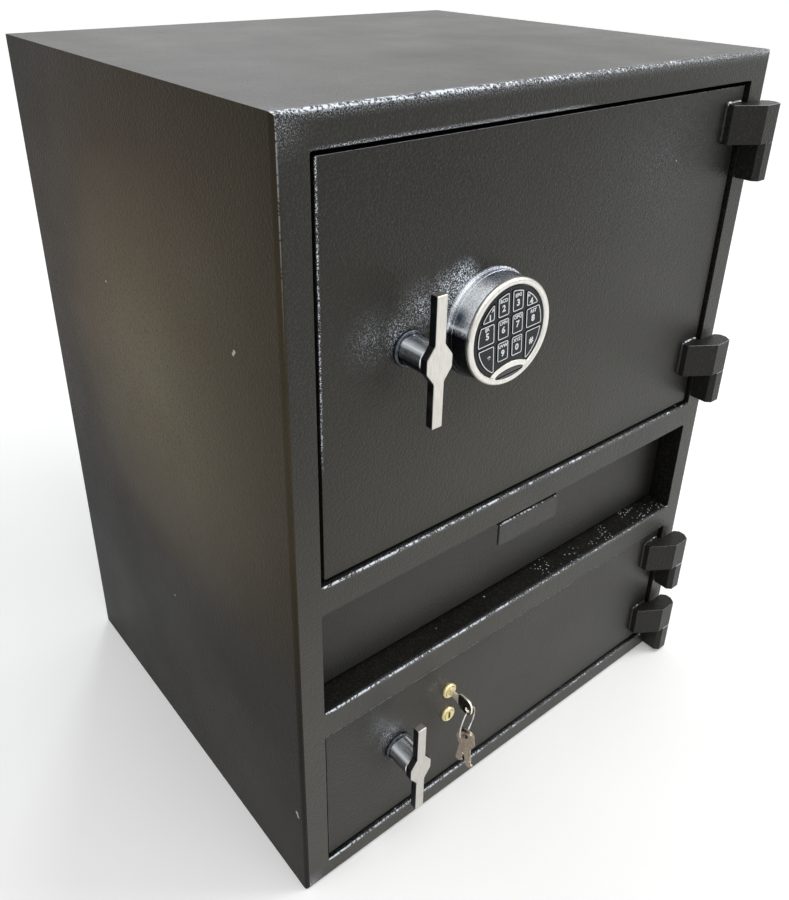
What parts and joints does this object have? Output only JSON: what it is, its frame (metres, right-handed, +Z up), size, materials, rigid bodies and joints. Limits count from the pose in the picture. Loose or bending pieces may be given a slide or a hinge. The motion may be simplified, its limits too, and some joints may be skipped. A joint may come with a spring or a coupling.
{
  "type": "drop safe with deposit hopper",
  "caption": "Steel drop safe with an upper keypad door, a tilting deposit hopper and a lower door with key locks, each door with a turning bar handle and inner boltwork.",
  "frame": {"origin": "centre of the cabinet's underside, on the floor", "axes": "+Z up, the doors face -Y, and +X is to the right as seen from the front, on the hinge side"},
  "size_m": [0.5334, 0.4923, 0.7112],
  "materials": {
    "black_paint": "black textured powder coat, satin, with a fine orange-peel surface",
    "chrome": "bright chrome plating",
    "satin_chrome": "satin chrome plating, a little warm",
    "zinc_steel": "zinc-plated steel, dull",
    "brass": "turned brass, lightly scratched",
    "nickel": "worn nickel-plated key blank",
    "pad_plastic": "dark charcoal moulded plastic, satin",
    "lens": "smoked gloss lens, bare"
  },
  "bodies": {
    "cabinet": {"cabinet_shell": "black_paint", "cabinet_back": "black_paint", "cabinet_floor": "black_paint", "compartment_floor": "black_paint", "chute_wall_left": "black_paint", "chute_wall_right": "black_paint", "hopper_rod": "zinc_steel", "anti_fish_baffle": "black_paint", "deposit_ledge": "black_paint", "upper_hinge_knuckle_1": "black_paint", "upper_hinge_knuckle_2": "black_paint", "lower_hinge_knuckle_1": "black_paint", "lower_hinge_knuckle_2": "black_paint"},
    "hopper": {"hopper_front": "black_paint", "hopper_pull": "black_paint", "hopper_tray": "black_paint"},
    "upper_door": {"upper_door_plate": "black_paint", "upper_hinge_leaf_1": "black_paint", "upper_hinge_leaf_2": "black_paint", "upper_deadbar": "black_paint", "upper_handle_collar": "satin_chrome", "upper_bolt_guide": "zinc_steel", "upper_lock_case": "zinc_steel", "keypad_housing": "chrome", "keypad_bezel": "satin_chrome", "keypad_panel": "pad_plastic", "keypad_lens": "lens"},
    "upper_handle": {"upper_handle_shaft": "chrome", "upper_handle_bar": "satin_chrome"},
    "upper_bolts": {"upper_bolt_carriage": "zinc_steel"},
    "key_button_1": {"keypad_key_1": "pad_plastic"},
    "key_button_2": {"keypad_key_2": "pad_plastic"},
    "key_button_3": {"keypad_key_3": "pad_plastic"},
    "key_button_4": {"keypad_key_4": "pad_plastic"},
    "key_button_5": {"keypad_key_5": "pad_plastic"},
    "key_button_6": {"keypad_key_6": "pad_plastic"},
    "key_button_7": {"keypad_key_7": "pad_plastic"},
    "key_button_8": {"keypad_key_8": "pad_plastic"},
    "key_button_star": {"keypad_key_star": "pad_plastic"},
    "key_button_9": {"keypad_key_9": "pad_plastic"},
    "key_button_0": {"keypad_key_0": "pad_plastic"},
    "key_button_hash": {"keypad_key_hash": "pad_plastic"},
    "lower_door": {"lower_door_plate": "black_paint", "lower_hinge_leaf_1": "black_paint", "lower_hinge_leaf_2": "black_paint", "lower_deadbar": "black_paint", "lower_handle_collar": "satin_chrome", "lower_bolt_guide": "zinc_steel", "lower_lock_case": "zinc_steel", "key_horn_upper": "brass", "key_horn_lower": "brass"},
    "lower_handle": {"lower_handle_shaft": "chrome", "lower_handle_bar": "satin_chrome"},
    "lower_bolts": {"lower_bolt_carriage": "zinc_steel"},
    "upper_plug": {"key_plug_upper": "brass"},
    "lower_plug": {"key_plug_lower": "brass"},
    "inserted_key": {"key_inserted": "nickel"},
    "split_ring": {"key_ring": "nickel"},
    "spare_key_a": {"key_spare_a": "nickel"},
    "spare_key_b": {"key_spare_b": "nickel"}
  },
  "joints": [
    {"name": "hopper_tilt", "type": "hinge", "parent": "cabinet", "child": "hopper", "pos_m": [0, -0.1971, 0.225], "axis": [1, 0, 0], "range_deg": [0, 45]},
    {"name": "upper_door_swing", "type": "hinge", "parent": "cabinet", "child": "upper_door", "pos_m": [0.255, -0.24, 0.516], "axis": [0, 0, 1], "range_deg": [0, 120]},
    {"name": "lower_door_swing", "type": "hinge", "parent": "cabinet", "child": "lower_door", "pos_m": [0.255, -0.24, 0.104], "axis": [0, 0, 1], "range_deg": [0, 120]},
    {"name": "upper_handle_turn", "type": "hinge", "parent": "upper_door", "child": "upper_handle", "pos_m": [-0.1575, -0.2254, 0.532], "axis": [0, -1, 0], "range_deg": [0, 75]},
    {"name": "upper_bolt_slide", "type": "slide", "parent": "upper_door", "child": "upper_bolts", "axis": [-1, 0, 0], "range_m": [0, 0.0198]},
    {"name": "lower_handle_turn", "type": "hinge", "parent": "lower_door", "child": "lower_handle", "pos_m": [-0.1575, -0.2254, 0.113], "axis": [0, -1, 0], "range_deg": [0, 75]},
    {"name": "lower_bolt_slide", "type": "slide", "parent": "lower_door", "child": "lower_bolts", "axis": [-1, 0, 0], "range_m": [0, 0.0198]},
    {"name": "press_1", "type": "slide", "parent": "upper_door", "child": "key_button_1", "axis": [0, 1, 0], "range_m": [0, 0.0008], "stiffness_N_per_m": 300},
    {"name": "press_2", "type": "slide", "parent": "upper_door", "child": "key_button_2", "axis": [0, 1, 0], "range_m": [0, 0.0008], "stiffness_N_per_m": 300},
    {"name": "press_3", "type": "slide", "parent": "upper_door", "child": "key_button_3", "axis": [0, 1, 0], "range_m": [0, 0.0008], "stiffness_N_per_m": 300},
    {"name": "press_4", "type": "slide", "parent": "upper_door", "child": "key_button_4", "axis": [0, 1, 0], "range_m": [0, 0.0008], "stiffness_N_per_m": 300},
    {"name": "press_5", "type": "slide", "parent": "upper_door", "child": "key_button_5", "axis": [0, 1, 0], "range_m": [0, 0.0008], "stiffness_N_per_m": 300},
    {"name": "press_6", "type": "slide", "parent": "upper_door", "child": "key_button_6", "axis": [0, 1, 0], "range_m": [0, 0.0008], "stiffness_N_per_m": 300},
    {"name": "press_7", "type": "slide", "parent": "upper_door", "child": "key_button_7", "axis": [0, 1, 0], "range_m": [0, 0.0008], "stiffness_N_per_m": 300},
    {"name": "press_8", "type": "slide", "parent": "upper_door", "child": "key_button_8", "axis": [0, 1, 0], "range_m": [0, 0.0008], "stiffness_N_per_m": 300},
    {"name": "press_star", "type": "slide", "parent": "upper_door", "child": "key_button_star", "axis": [0, 1, 0], "range_m": [0, 0.0008], "stiffness_N_per_m": 300},
    {"name": "press_9", "type": "slide", "parent": "upper_door", "child": "key_button_9", "axis": [0, 1, 0], "range_m": [0, 0.0008], "stiffness_N_per_m": 300},
    {"name": "press_0", "type": "slide", "parent": "upper_door", "child": "key_button_0", "axis": [0, 1, 0], "range_m": [0, 0.0008], "stiffness_N_per_m": 300},
    {"name": "press_hash", "type": "slide", "parent": "upper_door", "child": "key_button_hash", "axis": [0, 1, 0], "range_m": [0, 0.0008], "stiffness_N_per_m": 300},
    {"name": "upper_plug_turn", "type": "hinge", "parent": "lower_door", "child": "upper_plug", "pos_m": [-0.093, -0.2254, 0.1425], "axis": [0, -1, 0], "range_deg": [0, 90]},
    {"name": "lower_plug_turn", "type": "hinge", "parent": "lower_door", "child": "lower_plug", "pos_m": [-0.093, -0.2254, 0.1105], "axis": [0, -1, 0], "range_deg": [0, 90]},
    {"name": "key_pull", "type": "slide", "parent": "upper_plug", "child": "inserted_key", "axis": [0, -1, 0], "range_m": [0, 0.028]},
    {"name": "ring_swing", "type": "hinge", "parent": "inserted_key", "child": "split_ring", "pos_m": [-0.093, -0.2529, 0.138], "axis": [1, 0, 0], "range_deg": [-25, 12]},
    {"name": "spare_a_swing", "type": "hinge", "parent": "split_ring", "child": "spare_key_a", "pos_m": [-0.09432, -0.25338, 0.107], "axis": [0.9397, 0.342, 0], "range_deg": [-20, 20]},
    {"name": "spare_b_swing", "type": "hinge", "parent": "split_ring", "child": "spare_key_b", "pos_m": [-0.09168, -0.25242, 0.107], "axis": [0.9397, 0.342, 0], "range_deg": [-20, 20]}
  ],
  "couplings": [
    {"joint": "upper_bolt_slide", "follows": "upper_handle_turn", "m_per_rad": 0.014882},
    {"joint": "lower_bolt_slide", "follows": "lower_handle_turn", "m_per_rad": 0.014882}
  ]
}
